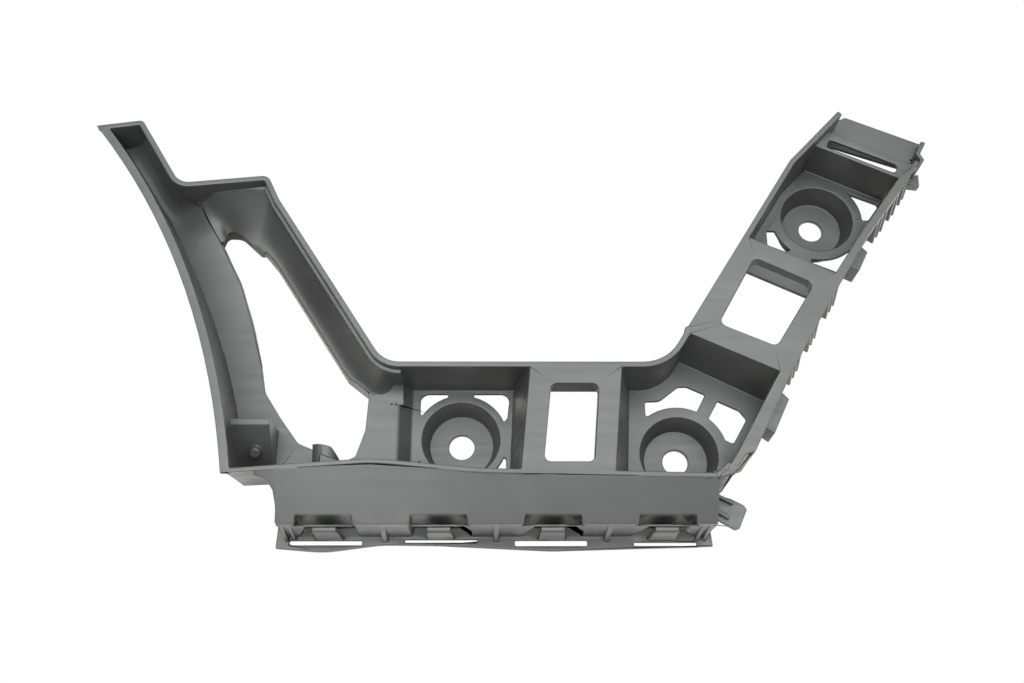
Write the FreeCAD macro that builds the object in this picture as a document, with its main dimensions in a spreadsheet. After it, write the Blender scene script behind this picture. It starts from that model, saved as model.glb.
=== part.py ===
import FreeCAD, Part
import math
import os

from FreeCAD import Placement, Rotation, Vector

# Bumper mounting bracket, one injection moulding.
# Frame: X along the clip row, Y across the bracket, Z up. The origin is the seat of the
# middle bolt cup, on the axis of its bolt hole.

# Levels above the bolt seats
RIM_TOP = 48.0
BLOCK_TOP = 48.0
FLANGE_EDGE = 36.0
BAR_TOP = 40.0
END_SHELF = 34.0
ARM_LEVEL = 24.0
POCKET_LEVEL = 16.0
LEDGE_TOP = 12.0
TROUGH_LEVEL = 8.0

# Walls
SKIN = 2.5
RIM_WALL = 2.8
ARCH_WALL = 2.0
LIP_WALL = 2.0
WINDOW_LIP = 8.0
ARM_LIP = 13.0

# Bolt cups
BOLT_HOLE_RADIUS = 6.4
CUP_FLOOR = 3.0
CUP_FLOOR_RADIUS = 16.0
CUP_MOUTH_RADIUS = 19.2
CUP_WALL = 2.2
CUP_RING_RADIUS = 24.5
LEFT_RING_RADIUS = 23.0
LEFT_CUP_X = -106.7
LEFT_CUP_Y = 7.8
RIGHT_CUP_X = 82.3
RIGHT_CUP_Y = 131.6

# Wheel arch edge, an arc seen from above
ARCH_RADIUS = 394.0
ARCH_BAND = 4.4
ARCH_X = -604.0
ARCH_Y = -79.0
FOOT_RADIUS = 434.4
FOOT_X = -639.7
FOOT_Y = -85.5

# Base of the bracket, from the clip row to the straight wall
WALL_Y = 36.2
FRONT_Y = -18.6
FRONT_WALL = 2.2
RECESS_Y = -35.4
BUMP_Y = -39.4
LEDGE_Y = -45.0
LEDGE_LEFT = -193.5
LEDGE_RIGHT = 14.0
CLIP_PITCH = 52.6
CLIP_START = -168.3
CLIP_WIDTH = 11.0
CLIP_HEIGHT = 21.0
CLIP_WALL = 1.8
CLIP_Y = -41.6
RECESS_WIDTH = 27.4
SLOT_WIDTH = 34.5
RIB_WALL = 1.6

SIZES = [
    ("rim_top", RIM_TOP),
    ("block_top", BLOCK_TOP),
    ("flange_edge", FLANGE_EDGE),
    ("bar_top", BAR_TOP),
    ("end_shelf", END_SHELF),
    ("arm_level", ARM_LEVEL),
    ("pocket_level", POCKET_LEVEL),
    ("ledge_top", LEDGE_TOP),
    ("trough_level", TROUGH_LEVEL),
    ("skin", SKIN),
    ("rim_wall", RIM_WALL),
    ("arch_wall", ARCH_WALL),
    ("lip_wall", LIP_WALL),
    ("window_lip", WINDOW_LIP),
    ("arm_lip", ARM_LIP),
    ("bolt_hole_radius", BOLT_HOLE_RADIUS),
    ("cup_floor", CUP_FLOOR),
    ("left_cup_x", LEFT_CUP_X),
    ("left_cup_y", LEFT_CUP_Y),
    ("right_cup_x", RIGHT_CUP_X),
    ("right_cup_y", RIGHT_CUP_Y),
    ("clip_height", CLIP_HEIGHT),
    ("rib_wall", RIB_WALL),
]

doc = FreeCAD.newDocument("bumper_bracket")
os.makedirs("parts", exist_ok=True)
sheet = doc.addObject("Spreadsheet::Sheet", "sizes")
for row, (alias, value) in enumerate(SIZES, start=1):
    sheet.set("A%d" % row, str(value))
    sheet.setAlias("A%d" % row, alias)
doc.recompute()


def turn_radius(corner):
    return corner[2] if len(corner) > 2 else 0.0


def rounded(corners, closed=True):
    """Lines and tangent arcs through corners of (x, y) or (x, y, radius)."""
    count = len(corners)
    starts = []
    ends = []
    arcs = []
    for i, corner in enumerate(corners):
        here = Vector(corner[0], corner[1], 0)
        radius = turn_radius(corner)
        if radius <= 0 or (not closed and i in (0, count - 1)):
            starts.append(here)
            ends.append(here)
            arcs.append(None)
            continue
        before = Vector(*corners[i - 1][:2], 0)
        after = Vector(*corners[(i + 1) % count][:2], 0)
        back = (before - here).normalize()
        ahead = (after - here).normalize()
        half = back.getAngle(ahead) / 2
        reach = radius / math.tan(half)
        centre = here + (back + ahead).normalize() * (radius / math.sin(half))
        middle = centre + (here - centre).normalize() * radius
        starts.append(here + back * reach)
        ends.append(here + ahead * reach)
        arcs.append(Part.Arc(here + back * reach, middle, here + ahead * reach))
    edges = []
    for i in range(count):
        if arcs[i] is not None:
            edges.append(arcs[i])
        if i == count - 1 and not closed:
            break
        following = (i + 1) % count
        if ends[i].distanceToPoint(starts[following]) > 1e-6:
            edges.append(Part.LineSegment(ends[i], starts[following]))
    return edges


def beside(corners, distance):
    """An open path moved to its right by a distance, its radii changed to match."""
    moved = []
    for i, corner in enumerate(corners):
        here = Vector(corner[0], corner[1], 0)
        ways = []
        if i > 0:
            ways.append((here - Vector(*corners[i - 1][:2], 0)).normalize())
        if i < len(corners) - 1:
            ways.append((Vector(*corners[i + 1][:2], 0) - here).normalize())
        first = ways[0]
        last = ways[-1]
        side_first = Vector(first.y, -first.x, 0)
        side_last = Vector(last.y, -last.x, 0)
        side = (side_first + side_last).normalize()
        reach = distance / side.dot(side_first)
        radius = turn_radius(corner)
        if radius > 0:
            right_turn = first.x * last.y - first.y * last.x < 0
            radius = max(radius - distance, 0.4) if right_turn else radius + distance
        place = here + side * reach
        moved.append((place.x, place.y, radius))
    return moved


def band(corners, thickness):
    """A closed outline between an open path and the same path moved to its right."""
    return list(corners) + beside(corners, thickness)[::-1]


def plane_of(body, role):
    for item in body.Origin.OriginFeatures:
        if item.Role == role:
            return item
    raise RuntimeError("no plane " + role)


def sketch_on(body, name, edges, role="XY_Plane", level=None):
    """A sketch on an origin plane of its body, lifted along the plane's normal."""
    sketch = body.newObject("Sketcher::SketchObject", name)
    sketch.AttachmentSupport = (plane_of(body, role), "")
    sketch.MapMode = "FlatFace"
    if level is not None:
        sketch.setExpression("AttachmentOffset.Base.z", level)
    sketch.addGeometry(edges, False)
    return sketch


def new_body(name, label):
    body = doc.addObject("PartDesign::Body", name)
    body.Label = label
    body.Placement = Placement(Vector(0, 0, 0), Rotation())
    return body


def slab(name, label, corners, level, height, edges=None):
    """A flat piece: a rounded outline padded upward from a level."""
    body = new_body(name, label)
    sketch = sketch_on(body, name + "_outline", edges or rounded(corners), level=level)
    pad = body.newObject("PartDesign::Pad", name + "_pad")
    pad.Profile = sketch
    pad.setExpression("Length", height)
    return body


def profile(name, label, corners, role, start, length):
    """A section drawn on an upright origin plane and padded along its normal."""
    body = new_body(name, label)
    sketch = sketch_on(body, name + "_section", rounded(corners), role)
    sketch.AttachmentOffset = Placement(Vector(0, 0, start), Rotation())
    pad = body.newObject("PartDesign::Pad", name + "_pad")
    pad.Profile = sketch
    pad.Length = length
    return body


solids = []
cutters = []

# Rim wall: from the tip of the wheel arch arm, round the shoulder and down to the base,
# along the base and up the short arm.
shoulder_path = [
    (-285.2, 169.92),
    (-273.6, 171.6, 3.0),
    (-250.5, 134.0, 9.0),
    (-205.8, 138.4, 4.5),
    (-199.1, 124.4),
]
base_path = [
    (-204.4, 135.5),
    (-199.1, 124.4, 20.0),
    (-143.0, WALL_Y, 14.0),
    (-8.5, WALL_Y, 20.0),
    (61.8, 148.2, 8.0),
    (90.3, 178.5),
]
solids.append(slab("shoulder_wall", "shoulder wall", band(shoulder_path, RIM_WALL),
                   "sizes.trough_level - sizes.skin", "sizes.rim_top - sizes.trough_level + sizes.skin"))
solids.append(slab("base_wall", "base wall", band(base_path, RIM_WALL),
                   "sizes.pocket_level - sizes.skin", "sizes.rim_top - sizes.pocket_level + sizes.skin"))


def arch_ring(centre_x, centre_y, outer, inner, top_y, low_y):
    """A strip between two arcs about one centre, cut off at two heights of Y."""
    corners = []
    for radius in (outer, inner):
        for y in (low_y, top_y):
            angle = math.asin((y - centre_y) / radius)
            corners.append((radius, angle))
    axis = Vector(0, 0, 1)
    centre = Vector(centre_x, centre_y, 0)
    ends = [Vector(centre_x + r * math.cos(a), centre_y + r * math.sin(a), 0) for r, a in corners]
    return [
        Part.ArcOfCircle(Part.Circle(centre, axis, outer), corners[0][1], corners[1][1]),
        Part.LineSegment(ends[1], ends[3]),
        Part.ArcOfCircle(Part.Circle(centre, axis, inner), corners[2][1], corners[3][1]),
        Part.LineSegment(ends[2], ends[0]),
    ]


# Wheel arch wall: a long curved wall that leans a little, with a turned lip at its top.
arch_top = doc.addObject("Sketcher::SketchObject", "arch_wall_top")
WALL_INSET = 0.7
arch_top.addGeometry(arch_ring(ARCH_X, ARCH_Y, ARCH_RADIUS + ARCH_BAND - ARCH_WALL - WALL_INSET,
                               ARCH_RADIUS + ARCH_BAND - WALL_INSET, 168.0, FRONT_Y + 1.0), False)
arch_top.setExpression("Placement.Base.z", "sizes.rim_top - sizes.lip_wall / 2")
arch_foot = doc.addObject("Sketcher::SketchObject", "arch_wall_foot")
arch_foot.addGeometry(arch_ring(FOOT_X, FOOT_Y, FOOT_RADIUS - ARCH_WALL, FOOT_RADIUS,
                                164.0, FRONT_Y + 6.6), False)
arch_foot.setExpression("Placement.Base.z", "sizes.trough_level - sizes.skin")
arch_wall = doc.addObject("Part::Loft", "arch_wall")
arch_wall.Label = "wheel arch wall"
arch_wall.Sections = [arch_foot, arch_top]
arch_wall.Solid = True
arch_wall.Ruled = True
solids.append(arch_wall)
solids.append(slab("arch_lip", "wheel arch lip", None, "sizes.rim_top - sizes.lip_wall", "sizes.lip_wall",
                   edges=arch_ring(ARCH_X, ARCH_Y, ARCH_RADIUS, ARCH_RADIUS + ARCH_BAND, 168.3, FRONT_Y)))

# Trough floor of the wheel arch arm
trough = [
    (-212.6, -11.6, 2.0),
    (-222.0, 25.0),
    (-230.6, 55.0),
    (-241.0, 82.0),
    (-254.5, 110.0),
    (-272.0, 142.0),
    (-285.0, 163.6),
    (-284.6, 168.6),
    (-275.5, 170.0),
    (-263.5, 151.0),
    (-249.0, 136.0),
    (-233.5, 117.5),
    (-224.7, 95.7),
    (-216.4, 72.6),
    (-209.1, 48.6),
    (-206.5, 35.5, 8.0),
    (-197.9, 22.1, 8.0),
    (-187.9, 9.0, 5.0),
    (-176.0, 5.5),
    (-172.0, -14.0),
]
solids.append(slab("trough_floor", "trough floor", trough, "sizes.trough_level - sizes.skin", "sizes.skin"))

# Arm floor between the window and the rim wall, down to the saddle
arm_floor = [
    (-213.0, 112.5, 3.0),
    (-203.8, 101.1, 3.0),
    (-163.8, 38.6, 6.0),
    (-151.8, 29.0, 6.0),
    (-152.8, 10.0, 5.0),
    (-157.0, -3.5, 3.0),
    (-163.0, -6.0),
    (-174.0, -2.0),
    (-174.0, -15.0),
    (-139.0, -15.0),
    (-139.0, 35.2),
    (-142.6, 35.2, 13.0),
    (-199.5, 123.6),
    (-206.5, 127.0),
]
solids.append(slab("arm_floor", "arm floor", arm_floor, "sizes.arm_level - sizes.skin", "sizes.skin"))
arm_edge = [
    (-213.0, 112.5),
    (-203.8, 101.1, 3.0),
    (-163.8, 38.6, 6.0),
    (-151.8, 29.0, 6.0),
    (-152.8, 10.0, 5.0),
    (-157.0, -3.5, 3.0),
    (-163.0, -6.0),
]
solids.append(slab("arm_lip", "arm lip", band(arm_edge[::-1], LIP_WALL),
                   "sizes.arm_level - sizes.arm_lip", "sizes.arm_lip"))

# Saddle: the arm floor rolls down to the pocket floor
saddle = [
    (-153.0, ARM_LEVEL - SKIN),
    (-153.0, ARM_LEVEL),
    (-137.0, ARM_LEVEL, 3.0),
    (-131.0, POCKET_LEVEL, 2.0),
    (-127.0, POCKET_LEVEL),
    (-127.0, POCKET_LEVEL - SKIN),
    (-132.5, POCKET_LEVEL - SKIN, 3.0),
    (-138.5, ARM_LEVEL - SKIN, 2.0),
]
solids.append(profile("saddle", "saddle", saddle, "XZ_Plane", -34.5, 34.5 + 15.0))

# Pocket floors around the bolt cups
pocket_floor = [
    (-131.0, 35.0),
    (-131.0, -17.5),
    (18.0, -17.5, 4.0),
    (26.0, -5.5, 4.0),
    (45.0, 28.0),
    (72.0, 72.0),
    (96.0, 108.5),
    (119.6, 143.4),
    (79.0, 162.2),
    (62.8, 147.0),
    (-8.2, 35.4, 20.0),
]
# Openings beside the cups; the rings of the cups close their inner sides again
openings = [
    [(-113.5, 14.0), (-113.5, 31.5), (-127.2, 31.5, 4.5), (-127.2, 21.8), (-122.0, 14.0)],
    [(-100.6, 14.0), (-90.0, 12.0), (-84.0, 18.8), (-82.6, 31.5, 4.0), (-100.6, 31.5)],
    [(-130.0, -1.2), (-124.0, -1.2), (-124.0, -4.8), (-130.0, -4.8)],
    [(-92.5, -8.3), (-84.6, -8.3), (-84.6, -2.2), (-88.0, 1.0)],
    [(-15.4, 20.4), (-15.4, 27.6, 1.5), (-8.0, 27.8, 6.0), (1.6, 35.4, 3.5), (6.0, 35.4, 1.5),
     (14.9, 31.3), (7.0, 16.0), (-7.0, 16.0)],
    [(14.0, 15.4), (21.1, 27.8), (31.6, 22.6, 2.0), (34.6, 18.2, 1.5), (27.2, 5.6, 1.2), (18.0, 10.0)],
    [(98.5, 148.6), (117.0, 140.5, 1.5), (110.0, 131.0, 1.5), (103.0, 131.0)],
    [(54.6, 124.4), (61.5, 124.4), (67.0, 113.5), (64.0, 111.8), (54.4, 116.0)],
    [(77.8, 114.0), (92.0, 116.0), (98.6, 117.0), (99.4, 114.4), (89.9, 99.8), (76.6, 105.7)],
]
block_hollow = [
    (-78.2, 33.4),
    (-80.4, -16.5),
    (-28.8, -16.5),
    (-25.6, 33.4),
]
right_hollow = [
    (7.0, 49.0),
    (36.5, 102.6),
    (78.5, 82.0),
    (45.5, 30.8),
]
CUPS = [
    ("left", LEFT_CUP_X, LEFT_CUP_Y, LEFT_RING_RADIUS),
    ("middle", 0.0, 0.0, CUP_RING_RADIUS),
    ("right", RIGHT_CUP_X, RIGHT_CUP_Y, CUP_RING_RADIUS),
]
floor_body = slab("pocket_floor", "pocket floor", None, "sizes.pocket_level - sizes.skin", "sizes.skin",
                  edges=rounded(pocket_floor))
pocket_sketch = sketch_on(floor_body, "openings", sum([rounded(o) for o in openings], []),
                          level="sizes.pocket_level")
cut = floor_body.newObject("PartDesign::Pocket", "opening_cut")
cut.Profile = pocket_sketch
cut.Type = "ThroughAll"
hollow_sketch = sketch_on(floor_body, "hollows", rounded(block_hollow) + rounded(right_hollow),
                          level="sizes.pocket_level")
hollow = floor_body.newObject("PartDesign::Pocket", "hollow_cut")
hollow.Profile = hollow_sketch
hollow.Type = "ThroughAll"
mouth_sketch = sketch_on(floor_body, "mouths",
                         [Part.Circle(Vector(x, y, 0), Vector(0, 0, 1), CUP_MOUTH_RADIUS + CUP_WALL / 2)
                          for _, x, y, _ in CUPS], level="sizes.pocket_level")
mouth = floor_body.newObject("PartDesign::Pocket", "mouth_cut")
mouth.Profile = mouth_sketch
mouth.Type = "ThroughAll"
solids.append(floor_body)

# Bolt cups: a flat ring, a conical wall and a floor with the bolt hole
for side, cup_x, cup_y, ring in CUPS:
    body = new_body("cup_" + side, side + " bolt cup")
    outer_foot = CUP_FLOOR_RADIUS + CUP_WALL
    outer_mouth = CUP_MOUTH_RADIUS + CUP_WALL
    section = [
        (BOLT_HOLE_RADIUS, 0.0),
        (outer_foot, 0.0),
        (outer_mouth, POCKET_LEVEL - SKIN),
        (ring, POCKET_LEVEL - SKIN),
        (ring, POCKET_LEVEL),
        (CUP_MOUTH_RADIUS, POCKET_LEVEL),
        (CUP_FLOOR_RADIUS, CUP_FLOOR),
        (BOLT_HOLE_RADIUS, CUP_FLOOR),
    ]
    sketch = sketch_on(body, "cup_%s_section" % side, rounded(section), "XZ_Plane")
    turn = body.newObject("PartDesign::Revolution", "cup_%s_turn" % side)
    turn.Profile = sketch
    turn.ReferenceAxis = (sketch, ["V_Axis"])
    turn.Angle = 360.0
    body.Placement = Placement(Vector(cup_x, cup_y, 0), Rotation())
    if side != "middle":
        body.setExpression("Placement.Base.x", "sizes.%s_cup_x" % side)
        body.setExpression("Placement.Base.y", "sizes.%s_cup_y" % side)
    solids.append(body)

# Front wall between the trough and the short arm
front_path = [
    (18.5, -15.0),
    (12.0, -20.6, 5.0),
    (-98.0, -18.3, 80.0),
    (-146.0, -13.6, 90.0),
    (-191.0, -16.8),
]
solids.append(slab("front_wall", "front wall", band(front_path, FRONT_WALL),
                   "sizes.pocket_level - sizes.skin", "sizes.rim_top - sizes.pocket_level + sizes.skin"))



def leaning(name, label, low, high, low_level, high_level, ruled=True):
    """A solid drawn between a low outline and a high outline with as many corners."""
    sections = []
    for part_name, corners, level in ((name + "_low", low, low_level), (name + "_high", high, high_level)):
        sketch = doc.addObject("Sketcher::SketchObject", part_name)
        sketch.addGeometry(rounded(corners), False)
        sketch.setExpression("Placement.Base.z", level)
        sections.append(sketch)
    loft = doc.addObject("Part::Loft", name)
    loft.Label = label
    loft.Sections = sections
    loft.Solid = True
    loft.Ruled = ruled
    return loft


def stations(name, label, sections, plane, ruled):
    """A solid drawn through upright sections; each is a place along the axis and its corners."""
    sketches = []
    turn = Rotation(Vector(1, 0, 0), 90) if plane == "XZ" else Rotation(Vector(1, 1, 1), 120)
    for i, (place, corners) in enumerate(sections):
        sketch = doc.addObject("Sketcher::SketchObject", "%s_%d" % (name, i))
        sketch.addGeometry(rounded(corners), False)
        base = Vector(0, place, 0) if plane == "XZ" else Vector(place, 0, 0)
        sketch.Placement = Placement(base, turn)
        sketches.append(sketch)
    loft = doc.addObject("Part::Loft", name)
    loft.Label = label
    loft.Sections = sketches
    loft.Solid = True
    loft.Ruled = ruled
    return loft


def hat(left_foot, left_top, right_top, right_foot):
    """Section of the raised block: two leaning sides and a flat top, one skin thick."""
    foot = POCKET_LEVEL - SKIN
    under = BLOCK_TOP - SKIN
    return [
        (left_foot, foot),
        (left_foot, POCKET_LEVEL),
        (left_top, BLOCK_TOP),
        (right_top, BLOCK_TOP),
        (right_foot, POCKET_LEVEL),
        (right_foot, foot),
        (right_foot - SKIN, foot),
        (right_top - SKIN, under),
        (left_top + SKIN, under),
        (left_foot + SKIN, foot),
    ]


# Lower corner of the wheel arch arm, its wall leaning in toward the trough
solids.append(leaning("corner_wall", "corner wall",
                      [(-213.4, -12.8), (-213.4, -10.6), (-189.6, -9.4), (-189.6, -11.6)],
                      [(-212.2, -18.4), (-212.2, -16.2), (-189.6, -14.5), (-189.6, -16.7)],
                      "sizes.trough_level - sizes.skin", "sizes.rim_top"))

# Middle block with its window
solids.append(stations("middle_block", "middle block", [
    (WALL_Y - 1.0, hat(-80.6, -73.2, -29.6, -23.0)),
    (FRONT_Y - 0.6, hat(-83.0, -78.1, -34.9, -26.2)),
], "XZ", True))


def around(corners, distance):
    """A closed outline moved outward; its corners run clockwise."""
    count = len(corners)
    moved = []
    for i, corner in enumerate(corners):
        here = Vector(corner[0], corner[1], 0)
        first = (here - Vector(*corners[i - 1][:2], 0)).normalize()
        last = (Vector(*corners[(i + 1) % count][:2], 0) - here).normalize()
        side_first = Vector(-first.y, first.x, 0)
        side = (side_first + Vector(-last.y, last.x, 0)).normalize()
        place = here + side * (distance / side.dot(side_first))
        radius = turn_radius(corner)
        moved.append((place.x, place.y, radius + distance if radius > 0 else 0.0))
    return moved


def window(name, label, corners, level, depth):
    """A turned-down lip round a window, and the cutter that opens it."""
    solids.append(slab(name + "_lip", label + " lip", None, "%s - (%s)" % (level, depth), depth,
                       edges=rounded(around(corners, LIP_WALL)) + rounded(corners)))
    cutters.append(slab(name + "_cut", label + " opening", corners, level + " - sizes.skin - 10",
                        "sizes.skin + 20"))


window("middle_window", "middle window", [
    (-67.4, -13.0, 3.0),
    (-63.4, 25.1, 3.0),
    (-41.0, 25.1, 3.0),
    (-44.2, -13.0, 3.0),
], "sizes.block_top", "sizes.window_lip")

# Right block on the short arm
right_top = [
    (0.5, 50.0),
    (33.5, 102.8),
    (38.5, 101.5),
    (79.0, 81.8),
    (46.5, 30.6),
    (3.6, 50.8),
]
solids.append(slab("right_block_top", "right block top", right_top, "sizes.block_top - sizes.skin", "sizes.skin"))
solids.append(leaning("right_block_south", "right block south wall",
                      [(2.0, 49.2), (3.2, 51.6), (46.8, 29.4), (45.6, 26.8)],
                      [(0.8, 52.2), (2.0, 54.6), (48.0, 33.0), (46.8, 30.6)],
                      "sizes.pocket_level - sizes.skin", "sizes.block_top"))
solids.append(leaning("right_block_north", "right block north wall",
                      [(33.0, 101.6), (34.5, 104.4), (81.0, 82.6), (79.5, 79.8)],
                      [(33.5, 101.2), (35.0, 104.0), (80.4, 81.9), (79.0, 79.0)],
                      "sizes.block_top - sizes.window_lip", "sizes.block_top"))
window("right_window", "right window", [
    (18.0, 56.2, 3.5),
    (38.4, 91.8, 3.5),
    (66.6, 77.6, 3.5),
    (45.0, 44.2, 3.5),
], "sizes.block_top", "sizes.window_lip - 1.5")

# Sloping front flange and the stepped wall with its clip recesses
FLANGE_LEFT = -190.2
FLANGE_RIGHT = 12.4
# Places along X with the Y of the flange's upper and outer edges
FLANGE_STATIONS = [
    (-199.6, -17.4, -19.4),
    (-196.0, -17.1, -20.2),
    (-193.2, -16.9, -22.0),
    (-191.2, -16.8, -25.2),
    (FLANGE_LEFT, -16.7, -31.0),
    (FLANGE_LEFT + 0.2, -16.7, BUMP_Y),
    (-168.0, -15.2, BUMP_Y),
    (-147.0, -14.4, BUMP_Y),
    (-124.0, -15.9, BUMP_Y),
    (-98.0, -18.0, BUMP_Y),
    (-60.0, -19.3, BUMP_Y),
    (FLANGE_RIGHT, -20.4, BUMP_Y),
]


def flange_section(top_y, edge_y):
    fall = (RIM_TOP - FLANGE_EDGE) * (top_y - edge_y) / (top_y - BUMP_Y)
    return [
        (top_y, RIM_TOP),
        (edge_y, RIM_TOP - fall),
        (edge_y, RIM_TOP - fall - SKIN),
        (top_y, RIM_TOP - SKIN - 0.4),
    ]


solids.append(stations("flange", "front flange", [
    (place, flange_section(top_y, edge_y)) for place, top_y, edge_y in FLANGE_STATIONS
], "YZ", True))

step_path = [(FLANGE_LEFT, -30.0), (FLANGE_LEFT, BUMP_Y, 1.5)]
clip_places = [CLIP_START + CLIP_PITCH * i for i in range(4)]
for clip_x in clip_places:
    step_path += [
        (clip_x - RECESS_WIDTH / 2, BUMP_Y, 1.6),
        (clip_x - RECESS_WIDTH / 2 + 0.8, RECESS_Y, 1.6),
        (clip_x + RECESS_WIDTH / 2 - 0.8, RECESS_Y, 1.6),
        (clip_x + RECESS_WIDTH / 2, BUMP_Y, 1.6),
    ]
step_path += [(FLANGE_RIGHT, BUMP_Y, 1.5), (FLANGE_RIGHT, -30.0)]
solids.append(slab("step_wall", "stepped wall", band(step_path[::-1], FRONT_WALL),
                   "sizes.ledge_top - sizes.skin", "sizes.flange_edge - sizes.ledge_top + sizes.skin - 0.6"))
for i, clip_x in enumerate(clip_places):
    recess = [
        (clip_x - RECESS_WIDTH / 2 + 0.8, RECESS_Y),
        (clip_x + RECESS_WIDTH / 2 - 0.8, RECESS_Y),
        (clip_x + RECESS_WIDTH / 2, BUMP_Y - 4.0),
        (clip_x - RECESS_WIDTH / 2, BUMP_Y - 4.0),
    ]
    cutters.append(slab("recess_%d" % i, "recess %d" % (i + 1), recess,
                        "sizes.ledge_top + sizes.clip_height + 0.6", "20"))
for name, end_x in (("left_end", FLANGE_LEFT), ("right_end", FLANGE_RIGHT - FRONT_WALL)):
    end_wall = [
        (-17.0, LEDGE_TOP - SKIN),
        (-17.0, RIM_TOP - 2.0),
        (BUMP_Y + 1.0, FLANGE_EDGE - 0.8),
        (BUMP_Y + 1.0, LEDGE_TOP - SKIN),
    ]
    solids.append(profile(name, name.replace("_", " ") + " wall", end_wall, "YZ_Plane", end_x, FRONT_WALL))

# Ledge along the foot of the stepped wall, bowed out in front of each clip
ledge = [
    (LEDGE_LEFT, -33.0),
    (LEDGE_LEFT - 0.6, LEDGE_Y),
    (-171.0, LEDGE_Y - 2.0, 60.0),
    (-144.0, LEDGE_Y + 1.6, 60.0),
    (-118.0, LEDGE_Y + 1.3, 80.0),
    (-63.0, LEDGE_Y - 1.4, 80.0),
    (LEDGE_RIGHT, LEDGE_Y + 0.8),
    (LEDGE_RIGHT - 1.0, -33.0),
]
solids.append(slab("ledge", "clip ledge", ledge, "sizes.ledge_top - sizes.skin", "sizes.skin"))
# Offset of each slot's centre from its tongue, its width, and its two edges in Y
SLOTS = [
    (-2.1, SLOT_WIDTH, -41.3, -43.5),
    (0.1, SLOT_WIDTH, -40.9, -42.3),
    (-0.1, SLOT_WIDTH, -41.3, -44.0),
    (1.8, SLOT_WIDTH - 4.5, -42.3, -44.0),
]
for i, (shift, width, near_y, far_y) in enumerate(SLOTS):
    centre = clip_places[i] + shift
    slot = [
        (centre - width / 2, near_y),
        (centre + width / 2, near_y),
        (centre + width / 2, far_y),
        (centre - width / 2, far_y),
    ]
    cutters.append(slab("slot_%d" % i, "slot %d" % (i + 1), slot, "sizes.ledge_top - sizes.skin - 1",
                        "sizes.skin + 2"))

# Web that closes the leaning corner at the tip of the arm
tip_web = profile("tip_web", "tip web", [
    (0.0, RIM_TOP),
    (12.2, RIM_TOP),
    (12.2, TROUGH_LEVEL - SKIN),
    (11.0, TROUGH_LEVEL - SKIN),
], "XZ_Plane", 0.0, RIM_WALL)
tip_web.Placement = Placement(Vector(-296.4, 168.3, 0), Rotation(Vector(0, 0, 1), 8.24))
solids.append(tip_web)

# A shallow step runs inside the rim of the wheel arch arm
STEP_DEPTH = 1.8
rim_step = band(beside(base_path[:3] + [(-134.6, WALL_Y)], RIM_WALL - 0.2), STEP_DEPTH + 0.2)
solids.append(slab("rim_step", "rim step", rim_step, "sizes.arm_level", "sizes.rim_top - sizes.arm_level - 4"))

# Snap tongues: upright springs on the ledge in front of the recesses, each with a nose
for i, clip_x in enumerate(clip_places):
    foot_half = CLIP_WIDTH / 2 + 1.4
    tongue = [
        (clip_x - CLIP_WIDTH / 2, LEDGE_TOP + CLIP_HEIGHT),
        (clip_x + CLIP_WIDTH / 2, LEDGE_TOP + CLIP_HEIGHT),
        (clip_x + foot_half, LEDGE_TOP - SKIN),
        (clip_x - foot_half, LEDGE_TOP - SKIN),
    ]
    solids.append(profile("tongue_%d" % i, "snap tongue %d" % (i + 1), tongue, "XZ_Plane", -CLIP_Y - CLIP_WALL,
                          CLIP_WALL))
    nose = [
        (CLIP_Y, LEDGE_TOP + CLIP_HEIGHT),
        (CLIP_Y - 1.1, LEDGE_TOP + CLIP_HEIGHT - 1.6),
        (CLIP_Y, LEDGE_TOP + CLIP_HEIGHT - 4.6),
        (CLIP_Y + 0.5, LEDGE_TOP + CLIP_HEIGHT - 2.0),
    ]
    solids.append(profile("nose_%d" % i, "snap nose %d" % (i + 1), nose, "YZ_Plane",
                          clip_x - CLIP_WIDTH / 2, CLIP_WIDTH))


def gusset(name, label, x, y, angle, top, reach, low=LEDGE_TOP, thickness=RIB_WALL):
    """A tapered fin on an upright wall, widest at its foot."""
    section = [(-1.0, top), (0.0, top), (reach, low), (-1.0, low)]
    body = new_body(name, label)
    sketch = sketch_on(body, name + "_section", rounded(section), "XZ_Plane")
    sketch.AttachmentOffset = Placement(Vector(0, 0, -thickness / 2), Rotation())
    pad = body.newObject("PartDesign::Pad", name + "_pad")
    pad.Profile = sketch
    pad.Length = thickness
    body.Placement = Placement(Vector(x, y, 0), Rotation(Vector(0, 0, 1), angle))
    return body


# Fins on the bumps of the stepped wall, and the pairs at its two ends
for i in range(3):
    bump_x = clip_places[i] + CLIP_PITCH / 2
    solids.append(gusset("bump_fin_%d" % i, "bump fin %d" % (i + 1), bump_x, BUMP_Y, -90, FLANGE_EDGE - 1.0,
                         2.8, thickness=2.4))
for i, fin_x in enumerate((-188.4, -184.8, 6.2, 9.6)):
    solids.append(gusset("end_fin_%d" % i, "end fin %d" % (i + 1), fin_x, BUMP_Y, -90, FLANGE_EDGE - 2.0, 2.4))

# Side rail along the short arm: a narrow top and an outer wall below it
rail_inner = [
    (15.0, -18.6),
    (22.0, -8.2),
    (42.2, 26.7),
    (73.1, 76.6),
    (93.5, 106.5),
    (117.2, 138.6),
]
rail_outer = [
    (12.0, -21.0),
    (19.6, -18.6, 4.0),
    (25.4, -9.6, 4.0),
    (30.0, -8.2, 2.0),
    (51.0, 31.4),
    (72.8, 67.2),
    (97.4, 105.6),
    (120.4, 135.4),
    (128.6, 147.2),
]
solids.append(slab("side_wall", "side wall", band(rail_outer[::-1], FRONT_WALL)[::-1],
                   "sizes.pocket_level - sizes.skin", "sizes.rim_top - sizes.pocket_level + sizes.skin"))
rail_top = rail_inner + [(128.6, 147.2)] + [(x, y) for x, y, *r in rail_outer[::-1][1:]]
solids.append(slab("rail_top", "side rail top", rail_top, "sizes.rim_top - sizes.skin", "sizes.skin"))


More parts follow.
